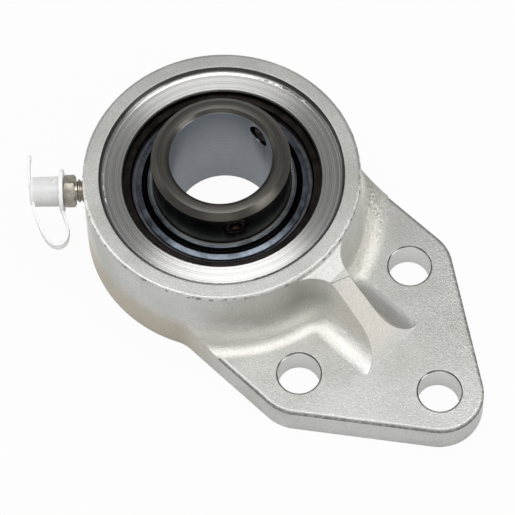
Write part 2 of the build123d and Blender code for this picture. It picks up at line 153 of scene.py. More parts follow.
def makeFloor(s):
    bpy.ops.object.select_all(action="DESELECT")
    bpy.ops.mesh.primitive_plane_add(size=s["size"] * mm, location=(0, 0, -s["below"] * mm))
    floor = bpy.context.object
    floor.name = "paperFloor"
    material, tree = newMaterial("whitePaperFloor")  # plain white paper that keeps a soft shadow
    paths = addNode(tree, "ShaderNodeLightPath")
    seen = addNode(tree, "ShaderNodeMath", {"operation": "MAXIMUM"},
                   {0: paths.outputs["Is Camera Ray"], 1: paths.outputs["Is Transmission Ray"]})
    shine = addNode(tree, "ShaderNodeMath", {"operation": "MULTIPLY", 1: s["metalGlow"]},
                    {0: paths.outputs["Is Glossy Ray"]})
    share = addNode(tree, "ShaderNodeMath", {"operation": "MULTIPLY_ADD", 1: s["cameraGlow"]},
                    {0: seen.outputs[0], 2: shine.outputs[0]})
    paper = addNode(tree, "ShaderNodeBsdfDiffuse", {"Color": linearColour(s["paper"])})
    glow = addNode(tree, "ShaderNodeEmission", {"Color": linearColour(s["glow"]), "Strength": 1.0})
    mixed = addNode(tree, "ShaderNodeMixShader",
                    links={0: share.outputs[0], 1: paper.outputs[0], 2: glow.outputs[0]})
    addNode(tree, "ShaderNodeOutputMaterial", links={"Surface": mixed.outputs[0]})
    floor.data.materials.append(material)


makeCamera(cameraSettings)
makeLamps(lightSettings)
makeTent(lightSettings)
makeFloor(floorSettings)
print("camera, light and floor ready")

# Materials. All of them read Object coordinates, which are the frame's own. A span is the stretch of a
# noise's 0 to 1 over which it goes from the first tone or value to the second.


def perMm(size):
    return 1 / (size * mm)


def framePlace(tree):
    # the point, the same point at height 0, its height, and its distance from the shaft's axis
    point = addNode(tree, "ShaderNodeTexCoord").outputs["Object"]
    split = addNode(tree, "ShaderNodeSeparateXYZ", links={0: point})
    flat = addNode(tree, "ShaderNodeCombineXYZ", links={0: split.outputs[0], 1: split.outputs[1]})
    radius = addNode(tree, "ShaderNodeVectorMath", {"operation": "LENGTH"}, {0: flat.outputs[0]})
    return {"point": point, "flat": flat.outputs[0], "height": split.outputs[2],
            "radius": radius.outputs["Value"]}


def twoTones(tree, pattern, span, tones):
    # the pattern's low places get the first tone and its high places the second
    share = addNode(tree, "ShaderNodeMapRange", {1: span[0], 2: span[1]}, {0: pattern})
    mixed = addNode(tree, "ShaderNodeMix",
                    {"data_type": "RGBA", 6: linearColour(tones[0]), 7: linearColour(tones[1])},
                    {0: share.outputs[0]})
    return mixed.outputs[2]


castSettings = {
    "tones": ("#dadad5", "#e8e8e4"), "cloudMm": 15.0, "cloudSpan": (0.35, 0.6), "castRough": 0.59,
    # the real blasted grain is finer, and is drawn coarser so that it shows
    "grainMm": 0.6, "fineMm": 0.3, "grainDeep": 0.045, "grainStrength": 0.7,
    "speckSpan": (0.3, 0.7), "specks": (0.84, 1.1),
    "softEdge": 0.4,
    # warm oxide stays in the cove round the boss, and the rib is painted lighter and warmer, a painted
    # highlight with a warm tint, each between these radii and heights
    "cove": "#d8d0c2", "coveR": (42.0, 34.0), "coveZ": (-2.0, -7.5),
    "ribWarmHighlight": "#ece8e0", "ribWarmHighlightR": (38.0, 43.0), "ribWarmHighlightZ": (-6.5, -3.0),
    # darker edges, painted shade with some wear along the plate's rounded edge and wear at the nicks of the
    # boss's rim: height of the middle, and half widths of the full and the faded band
    "wornAndShaded": "#85857f", "plateEdge": (-7.65, 0.38, 0.7), "rimEdge": (10.45, 0.2, 0.5), "slant": 0.12,
    "nickMm": 1.1, "rimSpan": (0.52, 0.66), "plateSpan": (0.25, 0.6), "plateShadeAndWear": (0.45, 0.9),
    # the hairline on the rib: its ends, tone, full and faded half widths, and how far it wanders
    "hairline": ((39.2, -2.5), (40.8, 2.8)), "hairTone": "#98938a",
    "hairHalf": (0.03, 0.13), "hairWave": 0.9,
    # machined places, whose turning rings are drawn coarser than the real ones so that they show
    "recessR": 30.3, "baseZ": -15.95, "bolts": ((45.0, 20.0), (45.0, -20.0), (73.0, 0.0)), "boltR": 5.6,
    "turned": ("#8f8f8c", "#ababa9"), "ringMm": 0.4, "ringSpan": (0.3, 0.7),
    "ringDeep": 0.012, "ringStrength": 0.5,
    # the bolt holes' walls get a light tone, a painted reflection, and a thin ring at their edges a dark
    # tone, a painted shadow line
    "turnedRough": 0.25, "anisotropy": 0.9, "boltWallSheen": "#f2f2ee", "mouthR": 5.3, "mouth": "#7b7b76",
}


def machinedPlaces(tree, s, at):
    # 1 where the housing is machined, 1 in the bolt holes, and 1 outside the edge of their walls, where a
    # painted shadow line rings them
    inside = addNode(tree, "ShaderNodeMath", {"operation": "LESS_THAN", 1: s["recessR"] * mm},
                     {0: at["radius"]})
    base = addNode(tree, "ShaderNodeMath", {"operation": "LESS_THAN", 1: s["baseZ"] * mm},
                   {0: at["height"]})
    nearest = None
    for x, y in s["bolts"]:
        away = addNode(tree, "ShaderNodeVectorMath", {"operation": "DISTANCE", 1: (x * mm, y * mm, 0)},
                       {0: at["flat"]}).outputs["Value"]
        nearest = away if nearest is None else addNode(tree, "ShaderNodeMath", {"operation": "MINIMUM"},
                                                       {0: nearest, 1: away}).outputs[0]
    holes = addNode(tree, "ShaderNodeMath", {"operation": "LESS_THAN", 1: s["boltR"] * mm}, {0: nearest})
    mouths = addNode(tree, "ShaderNodeMath", {"operation": "GREATER_THAN", 1: s["mouthR"] * mm},
                     {0: nearest})
    turnedPart = addNode(tree, "ShaderNodeMath", {"operation": "MAXIMUM"},
                         {0: inside.outputs[0], 1: base.outputs[0]})
    machined = addNode(tree, "ShaderNodeMath", {"operation": "MAXIMUM"},
                       {0: turnedPart.outputs[0], 1: holes.outputs[0]})
    return machined.outputs[0], holes.outputs[0], mouths.outputs[0]


def castTone(tree, s, at, fine):
    # cloudy steel, warmer in the cove, lighter and warmer on the rib as a painted highlight, with specks from
    # the blasting
    cloud = addNode(tree, "ShaderNodeTexNoise", {"Scale": perMm(s["cloudMm"]), "Detail": 4.0},
                    {"Vector": at["point"]})
    tone = twoTones(tree, cloud.outputs["Fac"], s["cloudSpan"], s["tones"])
    for place in ("cove", "ribWarmHighlight"):
        nearR = addNode(tree, "ShaderNodeMapRange", {1: s[place + "R"][0] * mm, 2: s[place + "R"][1] * mm},
                        {0: at["radius"]})
        nearZ = addNode(tree, "ShaderNodeMapRange", {1: s[place + "Z"][0] * mm, 2: s[place + "Z"][1] * mm},
                        {0: at["height"]})
        there = addNode(tree, "ShaderNodeMath", {"operation": "MULTIPLY"},
                        {0: nearR.outputs[0], 1: nearZ.outputs[0]})
        tone = addNode(tree, "ShaderNodeMix", {"data_type": "RGBA", 7: linearColour(s[place])},
                       {0: there.outputs[0], 6: tone}).outputs[2]
    speck = addNode(tree, "ShaderNodeMapRange",
                    {1: s["speckSpan"][0], 2: s["speckSpan"][1], 3: s["specks"][0], 4: s["specks"][1]},
                    {0: fine})
    return addNode(tree, "ShaderNodeVectorMath", {"operation": "SCALE"},
                   {0: tone, "Scale": speck.outputs[0]}).outputs[0]


def shadedAndRubbedEdges(tree, s, at, nick):
    # the plate's rounded rim gets a darker band, painted shade with some wear, and the boss's rim is rubbed
    # darker only where it has nicks
    bands = []
    for middle, full, faded in (s["plateEdge"], s["rimEdge"]):
        offset = addNode(tree, "ShaderNodeMath", {"operation": "SUBTRACT", 1: middle * mm},
                         {0: at["height"]})
        apart = addNode(tree, "ShaderNodeMath", {"operation": "ABSOLUTE"}, {0: offset.outputs[0]})
        bands.append(addNode(tree, "ShaderNodeMapRange", {1: faded * mm, 2: full * mm},
                             {0: apart.outputs[0]}))
    nicked = addNode(tree, "ShaderNodeMapRange", {1: s["rimSpan"][0], 2: s["rimSpan"][1]}, {0: nick})
    rimWear = addNode(tree, "ShaderNodeMath", {"operation": "MULTIPLY"},
                      {0: bands[1].outputs[0], 1: nicked.outputs[0]})
    uneven = addNode(tree, "ShaderNodeMapRange", {1: s["plateSpan"][0], 2: s["plateSpan"][1],
                                                  3: s["plateShadeAndWear"][0], 4: s["plateShadeAndWear"][1]}, {0: nick})
    plateShadeAndWear = addNode(tree, "ShaderNodeMath", {"operation": "MULTIPLY"},
                        {0: bands[0].outputs[0], 1: uneven.outputs[0]})
    # the band at the plate's height leaves out the upright wall of the boss
    facing = addNode(tree, "ShaderNodeSeparateXYZ",
                     links={0: addNode(tree, "ShaderNodeNewGeometry").outputs["True Normal"]})
    slanted = addNode(tree, "ShaderNodeMath", {"operation": "GREATER_THAN", 1: s["slant"]},
                      {0: facing.outputs[2]})
    plateShadeAndWear = addNode(tree, "ShaderNodeMath", {"operation": "MULTIPLY"},
                        {0: plateShadeAndWear.outputs[0], 1: slanted.outputs[0]})
    return addNode(tree, "ShaderNodeMath", {"operation": "MAXIMUM"},
                   {0: rimWear.outputs[0], 1: plateShadeAndWear.outputs[0]}).outputs[0]


def ribHairline(tree, s, at, nick):
    # a wavy hairline from the casting shell crosses the rib
    (x0, y0), (x1, y1) = s["hairline"]
    length = math.hypot(x1 - x0, y1 - y0)
    aside = Vector(((y1 - y0) / length, (x0 - x1) / length, 0))
    start = aside.dot(Vector((x0, y0, 0))) + s["hairWave"] / 2
    middle = ((x0 + x1) / 2 * mm, (y0 + y1) / 2 * mm, 0)
    across = addNode(tree, "ShaderNodeVectorMath", {"operation": "DOT_PRODUCT", 1: aside}, {0: at["flat"]})
    wavy = addNode(tree, "ShaderNodeMath", {"operation": "MULTIPLY_ADD", 1: s["hairWave"] * mm},
                   {0: nick, 2: across.outputs["Value"]})
    offset = addNode(tree, "ShaderNodeMath", {"operation": "SUBTRACT", 1: start * mm}, {0: wavy.outputs[0]})
    apart = addNode(tree, "ShaderNodeMath", {"operation": "ABSOLUTE"}, {0: offset.outputs[0]})
    line = addNode(tree, "ShaderNodeMapRange", {1: s["hairHalf"][1] * mm, 2: s["hairHalf"][0] * mm},
                   {0: apart.outputs[0]})
    away = addNode(tree, "ShaderNodeVectorMath", {"operation": "DISTANCE", 1: middle}, {0: at["flat"]})
    onRib = addNode(tree, "ShaderNodeMath", {"operation": "LESS_THAN", 1: length / 2 * mm},
                    {0: away.outputs["Value"]})
    return addNode(tree, "ShaderNodeMath", {"operation": "MULTIPLY"},
                   {0: line.outputs[0], 1: onRib.outputs[0]}).outputs[0]


def makeCastStainless(s):
    # Cast stainless steel blasted with fine beads: a pale, warm grain like fine orange peel.
    # The recess, the seat, the bolt holes and the mounting face are machined, with turning rings.
    material, tree = newMaterial("beadBlastedCastStainless")
    at = framePlace(tree)
    machined, holes, mouths = machinedPlaces(tree, s, at)
    grain = addNode(tree, "ShaderNodeTexNoise",
                    {"Scale": perMm(s["grainMm"]), "Detail": 3.0, "Roughness": 0.6},
                    {"Vector": at["point"]})
    fine = addNode(tree, "ShaderNodeTexNoise", {"Scale": perMm(s["fineMm"]), "Detail": 2.0},
                   {"Vector": at["point"]})
    nick = addNode(tree, "ShaderNodeTexNoise", {"Scale": perMm(s["nickMm"]), "Detail": 3.0},
                   {"Vector": at["point"]})
    rings = addNode(tree, "ShaderNodeTexNoise",
                    {"noise_dimensions": "1D", "Scale": perMm(s["ringMm"]), "Detail": 2.0},
                    {"W": at["radius"]})
    grain, grainColour = grain.outputs["Fac"], grain.outputs["Color"]
    fine, nick, rings = fine.outputs["Fac"], nick.outputs["Fac"], rings.outputs["Fac"]

    # the darker tone on the plate's rounded edge is painted shade with some wear, and on the boss's rim it is
    # wear at the nicks
    wornAndShaded = addNode(tree, "ShaderNodeMix", {"data_type": "RGBA", 7: linearColour(s["wornAndShaded"])},
                   {0: shadedAndRubbedEdges(tree, s, at, nick), 6: castTone(tree, s, at, fine)})
    cast = addNode(tree, "ShaderNodeMix", {"data_type": "RGBA", 7: linearColour(s["hairTone"])},
                   {0: ribHairline(tree, s, at, nick), 6: wornAndShaded.outputs[2]})
    boltSheenAndShadow = addNode(tree, "ShaderNodeMix",
                       {"data_type": "RGBA", 6: linearColour(s["boltWallSheen"]), 7: linearColour(s["mouth"])},
                       {0: mouths})  # the holes' walls take a light painted reflection, and their edges a dark painted shadow line
    cut = addNode(tree, "ShaderNodeMix", {"data_type": "RGBA"},
                  {0: holes, 6: twoTones(tree, rings, s["ringSpan"], s["turned"]), 7: boltSheenAndShadow.outputs[2]})
    colour = addNode(tree, "ShaderNodeMix", {"data_type": "RGBA"},
                     {0: machined, 6: cast.outputs[2], 7: cut.outputs[2]})
    rough = addNode(tree, "ShaderNodeMapRange", {3: s["castRough"], 4: s["turnedRough"]}, {0: machined})

    normal = addNode(tree, "ShaderNodeBevel", {"samples": 4, "Radius": s["softEdge"] * mm})
    for height in (grain, fine):
        normal = addNode(tree, "ShaderNodeBump",
                         {"Strength": s["grainStrength"], "Distance": s["grainDeep"] * mm},
                         {"Height": height, "Normal": normal.outputs[0]})
    cuts = addNode(tree, "ShaderNodeBump", {"Strength": s["ringStrength"], "Distance": s["ringDeep"] * mm},
                   {"Height": rings})
    normal = addNode(tree, "ShaderNodeMix", {"data_type": "VECTOR"},
                     {0: machined, 4: normal.outputs[0], 5: cuts.outputs[0]})
    # turning rings spread the shine outwards from the shaft, and the cast part's tangent wanders with its
    # grain, so there nothing is stretched
    tangent = addNode(tree, "ShaderNodeMix", {"data_type": "VECTOR"},
                      {0: machined, 4: grainColour, 5: at["flat"]})
    shader = addNode(tree, "ShaderNodeBsdfPrincipled", {"Metallic": 1.0, "Anisotropic": s["anisotropy"]},
                     {"Base Color": colour.outputs[2], "Roughness": rough.outputs[0],
                      "Normal": normal.outputs[1], "Tangent": tangent.outputs[1]})
    addNode(tree, "ShaderNodeOutputMaterial", links={"Surface": shader.outputs[0]})
    return material


ringSettings = {
    "oxide": ("#131211", "#24201d"), "oxideSpan": (0.35, 0.68), "mottleMm": 3.0,
    # the chamfer tone, lighter than the face, is a painted highlight along the edge
    "face": ("#343431", "#504e49"), "bore": ("#9ea4ab", "#b9bfc5"), "chamfer": "#55524d",
    "groundSpan": (0.3, 0.7),
    "groundMm": 0.3,  # the real grinding lines are finer, and are drawn coarser so that they show
    "groundDeep": 0.008, "groundStrength": 0.35, "rough": (0.24, 0.42), "anisotropy": 0.5,
    "boreR": 12.56, "faceZ": 18.25, "flatZ": 19.72, "backZ": -14.2,
}


def makeRingSteel(s):
    # Through-hardened bearing steel: brown-black heat oxide outside, ground end faces, and a honed bore
    # that is bluish and bright, all with fine grinding rings.
    material, tree = newMaterial("hardenedBearingSteel")
    at = framePlace(tree)
    mottle = addNode(tree, "ShaderNodeTexNoise", {"Scale": perMm(s["mottleMm"]), "Detail": 4.0},
                     {"Vector": at["point"]}).outputs["Fac"]
    rings, lines = [
        addNode(tree, "ShaderNodeTexNoise",
                {"noise_dimensions": "1D", "Scale": perMm(s["groundMm"]), "Detail": 3.0},
                {"W": at[way]}).outputs["Fac"] for way in ("radius", "height")]
    inBore = addNode(tree, "ShaderNodeMath", {"operation": "LESS_THAN", 1: s["boreR"] * mm},
                     {0: at["radius"]})
    onFront = addNode(tree, "ShaderNodeMath", {"operation": "GREATER_THAN", 1: s["faceZ"] * mm},
                      {0: at["height"]})
    onBack = addNode(tree, "ShaderNodeMath", {"operation": "LESS_THAN", 1: s["backZ"] * mm},
                     {0: at["height"]})
    onFlat = addNode(tree, "ShaderNodeMath", {"operation": "GREATER_THAN", 1: s["flatZ"] * mm},
                     {0: at["height"]})
    onFace = addNode(tree, "ShaderNodeMath", {"operation": "MAXIMUM"},
                     {0: onFront.outputs[0], 1: onBack.outputs[0]})
    # the chamfers and the back face take the lighter tone, a painted highlight, and the flat front face keeps
    # the ground tones
    faceAndChamferHighlight = addNode(tree, "ShaderNodeMix", {"data_type": "RGBA", 6: linearColour(s["chamfer"])},
                     {0: onFlat.outputs[0], 7: twoTones(tree, rings, s["groundSpan"], s["face"])})
    outside = addNode(tree, "ShaderNodeMix", {"data_type": "RGBA"},
                      {0: onFace.outputs[0], 6: twoTones(tree, mottle, s["oxideSpan"], s["oxide"]),
                       7: faceAndChamferHighlight.outputs[2]})
    colour = addNode(tree, "ShaderNodeMix", {"data_type": "RGBA"},
                     {0: inBore.outputs[0], 6: outside.outputs[2],
                      7: twoTones(tree, lines, s["groundSpan"], s["bore"])})
    marks = addNode(tree, "ShaderNodeMix", links={0: onFace.outputs[0], 2: lines, 3: rings})
    rough = addNode(tree, "ShaderNodeMapRange", {3: s["rough"][0], 4: s["rough"][1]}, {0: mottle})
    bump = addNode(tree, "ShaderNodeBump",
                   {"Strength": s["groundStrength"], "Distance": s["groundDeep"] * mm},
                   {"Height": marks.outputs[0]})
    around = addNode(tree, "ShaderNodeTangent", {"direction_type": "RADIAL", "axis": "Z"})
    shader = addNode(tree, "ShaderNodeBsdfPrincipled",
                     {"Metallic": 1.0, "Anisotropic": s["anisotropy"], "Anisotropic Rotation": 0.25},
                     {"Base Color": colour.outputs[2], "Roughness": rough.outputs[0],
                      "Normal": bump.outputs[0], "Tangent": around.outputs[0]})
    addNode(tree, "ShaderNodeOutputMaterial", links={"Surface": shader.outputs[0]})
    return material


metalSettings = {
    # dark tone, light tone, roughness from and to, mottle in mm, fine grain in mm, bump in mm
    "polishedBallSteel": ("#b4b5b6", "#c9cacb", 0.06, 0.104, 2.0, 0.3, 0.001),
    "pressedCageSteel": ("#8f8b84", "#a8a49b", 0.255, 0.442, 2.0, 0.3, 0.008),
    "phosphatedSheet": ("#35363a", "#46474b", 0.3375, 0.585, 1.5, 0.3, 0.01),
    "blackSocketScrewSteel": ("#1f1815", "#412f27", 0.285, 0.494, 1.2, 0.25, 0.012),
    "nickelPlatedSteel": ("#9b958a", "#bcb6ab", 0.225, 0.39, 1.6, 0.3, 0.01),
    "hardSpringSteel": ("#7d7a76", "#9a9792", 0.21, 0.364, 1.5, 0.25, 0.006),
}
mottleSpan = (0.35, 0.65)
metalGrainStrength = 0.5


def makeMetal(name):
    # The plain metals differ by tone, gloss and grain: plating is cloudy and warm, ball steel a mirror,
    # pressed cages satin, phosphated sheet dark grey, and black screws brown where the oxide is thin.
    dark, light, smooth, coarse, mottleMm, grainMm, bumpMm = metalSettings[name]
    material, tree = newMaterial(name)
    point = addNode(tree, "ShaderNodeTexCoord").outputs["Object"]
    mottle = addNode(tree, "ShaderNodeTexNoise", {"Scale": perMm(mottleMm), "Detail": 4.0},
                     {"Vector": point})
    grain = addNode(tree, "ShaderNodeTexNoise", {"Scale": perMm(grainMm), "Detail": 2.0}, {"Vector": point})
    rough = addNode(tree, "ShaderNodeMapRange", {3: smooth, 4: coarse}, {0: grain.outputs["Fac"]})
    bump = addNode(tree, "ShaderNodeBump", {"Strength": metalGrainStrength, "Distance": bumpMm * mm},
                   {"Height": grain.outputs["Fac"]})
    shader = addNode(tree, "ShaderNodeBsdfPrincipled", {"Metallic": 1.0},
                     {"Base Color": twoTones(tree, mottle.outputs["Fac"], mottleSpan, (dark, light)),
                      "Roughness": rough.outputs[0], "Normal": bump.outputs[0]})
    addNode(tree, "ShaderNodeOutputMaterial", links={"Surface": shader.outputs[0]})
    return material


sheetSettings = {
    "zinc": ("#3b4047", "#5c636b"), "mottleMm": 2.5, "rough": (0.216, 0.351), "anisotropy": 0.85,
    "grainMm": 0.3, "grainDeep": 0.005, "grainStrength": 0.4,
    # the near-black tone between the valley's radii is painted shade, and the lighter tone inside the bead's
    # radius a painted highlight
    "valleyShade": "#0d0d0e", "valleyShadeR": (18.45, 19.95), "bead": "#7c7f7d", "beadR": 17.9,
}


def makeZincSheet(s):
    # Pressed sheet with blue zinc plating: a bluish, softly smeared shine, a painted highlight on the bead,
    # and near-black painted shade in the valley.
    material, tree = newMaterial("zincPlatedSheet")
    at = framePlace(tree)
    mottle = addNode(tree, "ShaderNodeTexNoise", {"Scale": perMm(s["mottleMm"]), "Detail": 4.0},
                     {"Vector": at["point"]}).outputs["Fac"]
    grain = addNode(tree, "ShaderNodeTexNoise", {"Scale": perMm(s["grainMm"]), "Detail": 2.0},
                    {"Vector": at["point"]})
    pastBead = addNode(tree, "ShaderNodeMath", {"operation": "GREATER_THAN", 1: s["beadR"] * mm},
                       {0: at["radius"]})
    pastIn = addNode(tree, "ShaderNodeMath", {"operation": "GREATER_THAN", 1: s["valleyShadeR"][0] * mm},
                     {0: at["radius"]})
    beforeOut = addNode(tree, "ShaderNodeMath", {"operation": "LESS_THAN", 1: s["valleyShadeR"][1] * mm},
                        {0: at["radius"]})
    valleyShaded = addNode(tree, "ShaderNodeMath", {"operation": "MULTIPLY"},
                     {0: pastIn.outputs[0], 1: beforeOut.outputs[0]})
    # inside the bead's radius the sheet takes a lighter tone, a painted highlight
    beaded = addNode(tree, "ShaderNodeMix", {"data_type": "RGBA", 6: linearColour(s["bead"])},
                     {0: pastBead.outputs[0], 7: twoTones(tree, mottle, mottleSpan, s["zinc"])})
    # between the valley's radii the sheet goes near-black, painted shade
    colour = addNode(tree, "ShaderNodeMix", {"data_type": "RGBA", 7: linearColour(s["valleyShade"])},
                     {0: valleyShaded.outputs[0], 6: beaded.outputs[2]})
    rough = addNode(tree, "ShaderNodeMapRange", {3: s["rough"][0], 4: s["rough"][1]}, {0: mottle})
    bump = addNode(tree, "ShaderNodeBump",
                   {"Strength": s["grainStrength"], "Distance": s["grainDeep"] * mm},
                   {"Height": grain.outputs["Fac"]})
    around = addNode(tree, "ShaderNodeTangent", {"direction_type": "RADIAL", "axis": "Z"})
    shader = addNode(tree, "ShaderNodeBsdfPrincipled",
                     {"Metallic": 1.0, "Anisotropic": s["anisotropy"], "Anisotropic Rotation": 0.25},
                     {"Base Color": colour.outputs[2], "Roughness": rough.outputs[0],
                      "Normal": bump.outputs[0], "Tangent": around.outputs[0]})
    addNode(tree, "ShaderNodeOutputMaterial", links={"Surface": shader.outputs[0]})
    return material


plasticSettings = {
    # dark tone, light tone, roughness from and to, cloud in mm, subsurface share, its depth in mm,
    # transmission
    "naturalPolyethylene": ("#f8f8f7", "#fdfdfd", 0.22, 0.38, 2.5, 0.75, 3.0, 0.17),
    "nitrileRubber": ("#151515", "#232323", 0.47, 0.63, 1.0, 0.0, 0.1, 0.0),
}
plasticIor = 1.51
mouldGrain = {"deep": 0.03, "strength": 0.3}


def makePlastic(name):
    # Natural polyethylene is milky and lets light through, with a soft moulded gloss; the seals are matt
    # black nitrile rubber.
    dark, light, smooth, coarse, cloudMm, inside, depthMm, through = plasticSettings[name]
    material, tree = newMaterial(name)
    point = addNode(tree, "ShaderNodeTexCoord").outputs["Object"]
    cloud = addNode(tree, "ShaderNodeTexNoise", {"Scale": perMm(cloudMm), "Detail": 3.0},
                    {"Vector": point}).outputs["Fac"]
    rough = addNode(tree, "ShaderNodeMapRange", {3: smooth, 4: coarse}, {0: cloud})
    bump = addNode(tree, "ShaderNodeBump",
                   {"Strength": mouldGrain["strength"], "Distance": mouldGrain["deep"] * mm},
                   {"Height": cloud})
    shader = addNode(tree, "ShaderNodeBsdfPrincipled",
                     {"Subsurface Weight": inside, "Subsurface Scale": depthMm * mm,
                      "Subsurface Radius": (1, 1, 1),
                      "Transmission Weight": through, "IOR": plasticIor},
                     {"Base Color": twoTones(tree, cloud, mottleSpan, (dark, light)),
                      "Roughness": rough.outputs[0], "Normal": bump.outputs[0]})
    addNode(tree, "ShaderNodeOutputMaterial", links={"Surface": shader.outputs[0]})
    return material


castStainless = makeCastStainless(castSettings)
ringSteel = makeRingSteel(ringSettings)
zincSheet = makeZincSheet(sheetSettings)
ballSteel, cageSteel, shellSteel, screwSteel, nippleSteel, springSteel = map(makeMetal, metalSettings)
capPlastic, sealRubber = map(makePlastic, plasticSettings)

# how a CAD node's name starts, and its material
nodeMaterials = {
    "housing": castStainless, "outer_ring": ringSteel, "inner_ring": ringSteel, "cage": cageSteel,
    "ball": ballSteel, "seal_shell": shellSteel, "seal_lip": sealRubber, "flinger": zincSheet,
    "set_screw": screwSteel, "grease_nipple": nippleSteel, "lock_pin": springSteel,
    "nipple_ball": ballSteel, "nipple_spring": springSteel, "nipple_cap": capPlastic,
}
for nodeName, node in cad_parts.items():
    kind = next(start for start in nodeMaterials if nodeName.startswith(start))
    node.data.materials.clear()
    node.data.materials.append(nodeMaterials[kind])
print("materials ready")

# Modelling helpers

mergeMm = 0.001  # points nearer than this become one
pole = 0.0004  # radius of an outline's end on the axis, which merging closes to one point


def startPiece():
    if bpy.context.object and bpy.context.object.mode != "OBJECT":
        bpy.ops.object.mode_set(mode="OBJECT")
    bpy.ops.object.select_all(action="DESELECT")


def pick(piece):
    startPiece()
    piece.select_set(True)
    bpy.context.view_layer.objects.active = piece


def settle(piece):
    # the place goes into the mesh, and the object stays at the origin
    pick(piece)
    bpy.ops.object.transform_apply(location=True, rotation=True, scale=True)


def tidyMesh(piece):
    pick(piece)
    bpy.ops.object.mode_set(mode="EDIT")
    bpy.ops.mesh.select_all(action="SELECT")
    bpy.ops.mesh.remove_doubles(threshold=mergeMm * mm)
    bpy.ops.mesh.normals_make_consistent(inside=False)
    bpy.ops.object.mode_set(mode="OBJECT")


def applyModifier(piece, kind, **settings):
    pick(piece)
    modifier = piece.modifiers.new(kind.lower(), kind)
    for key, value in settings.items():
        setattr(modifier, key, value)
    bpy.ops.object.modifier_apply(modifier=modifier.name)


def combine(piece, operation, tool):
    applyModifier(piece, "BOOLEAN", operation=operation, solver="MANIFOLD", object=tool)
    bpy.data.objects.remove(tool)


def roundEdges(piece, width, segments, angle):
    applyModifier(piece, "BEVEL", width=width * mm, segments=segments, limit_method="ANGLE",
                  angle_limit=math.radians(angle), use_clamp_overlap=True, harden_normals=False)


def smoothShade(piece, angle):
    pick(piece)
    bpy.ops.object.shade_smooth_by_angle(angle=math.radians(angle))


def turned(name, outline, around):
    # an outline of (radius, height) corners, drawn ring by ring round the Z axis, and closed unless it
    # runs from pole to pole
    startPiece()
    firstR, firstZ = outline[0]
    bpy.ops.mesh.primitive_circle_add(vertices=around, radius=firstR * mm, location=(0, 0, firstZ * mm))
    piece = bpy.context.object
    piece.name = piece.data.name = name
    settle(piece)
    bpy.ops.object.mode_set(mode="EDIT")
    bpy.ops.mesh.select_mode(type="EDGE")
    bpy.ops.mesh.select_all(action="SELECT")
    closing = [] if firstR == pole else outline[:1]
    for (r0, z0), (r1, z1) in zip(outline, outline[1:] + closing):
        bpy.ops.mesh.extrude_edges_move(TRANSFORM_OT_translate={"value": (0, 0, (z1 - z0) * mm)})
        if r1 != r0:
            bpy.ops.transform.resize(value=(r1 / r0, r1 / r0, 1), center_override=(0, 0, z1 * mm))
    bpy.ops.object.mode_set(mode="OBJECT")
    tidyMesh(piece)
    return piece


def radialPlace(angle, height):
    # local Z points out from the shaft at this angle, local X points down
    return (Matrix.Translation((0, 0, height * mm)) @ Matrix.Rotation(math.radians(angle), 4, "Z")
            @ Matrix.Rotation(math.radians(90), 4, "Y"))


def outwards(distance):
    return Matrix.Translation((0, 0, distance * mm))


def placeOn(piece, matrix):
    piece.matrix_world = matrix
    bpy.context.view_layer.update()
    settle(piece)


def copyOf(piece, name):
    # a copy with its own mesh
    twin = bpy.data.objects.new(name, piece.data.copy())
    scene.collection.objects.link(twin)
    return twin


def finishPiece(piece, body, material, slot, *nodes):
    piece.data.materials.clear()
    piece.data.materials.append(material)
    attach(piece, body)
    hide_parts(*nodes)


def arcPoints(centreR, centreZ, radius, startAngle, endAngle, steps):
    sweep = [math.radians(startAngle + (endAngle - startAngle) * i / steps) for i in range(steps + 1)]
    return [(centreR + radius * math.cos(a), centreZ + radius * math.sin(a)) for a in sweep]


def threadOutline(crestR, rootR, pitch, start, end):
    # ridges of a metric thread, drawn from start to end along the axis, as shares of one pitch
    rootShare, riseShare, crestShare = 0.1, 0.48, 0.6
    points, place = [], start
    while place + pitch <= end + mergeMm:
        points += [(rootR, place), (rootR, place + rootShare * pitch), (crestR, place + riseShare * pitch),
                   (crestR, place + crestShare * pitch)]
        place += pitch
    if place < end - 10 * mergeMm:
        points.append((rootR, place))
    return points + [(rootR, end)]


# Bearing insert

innerRing = {
    "boreR": 12.5, "outerR": 17.0, "back": -14.3, "front": 19.8, "boreChamfer": 0.9, "frontChamfer": 1.5,
    "backChamfer": 1.0, "raceCentreR": 19.639, "raceR": 4.128, "raceSteps": 14, "edge": 0.12,
    "screwAngles": (-34.0, 86.0), "screwZ": 14.8, "holeR": 3.0, "drillDeep": 12.0, "drillR": 14.5,
    "sinkR": 3.3, "sinkDeep": 2.0,
}


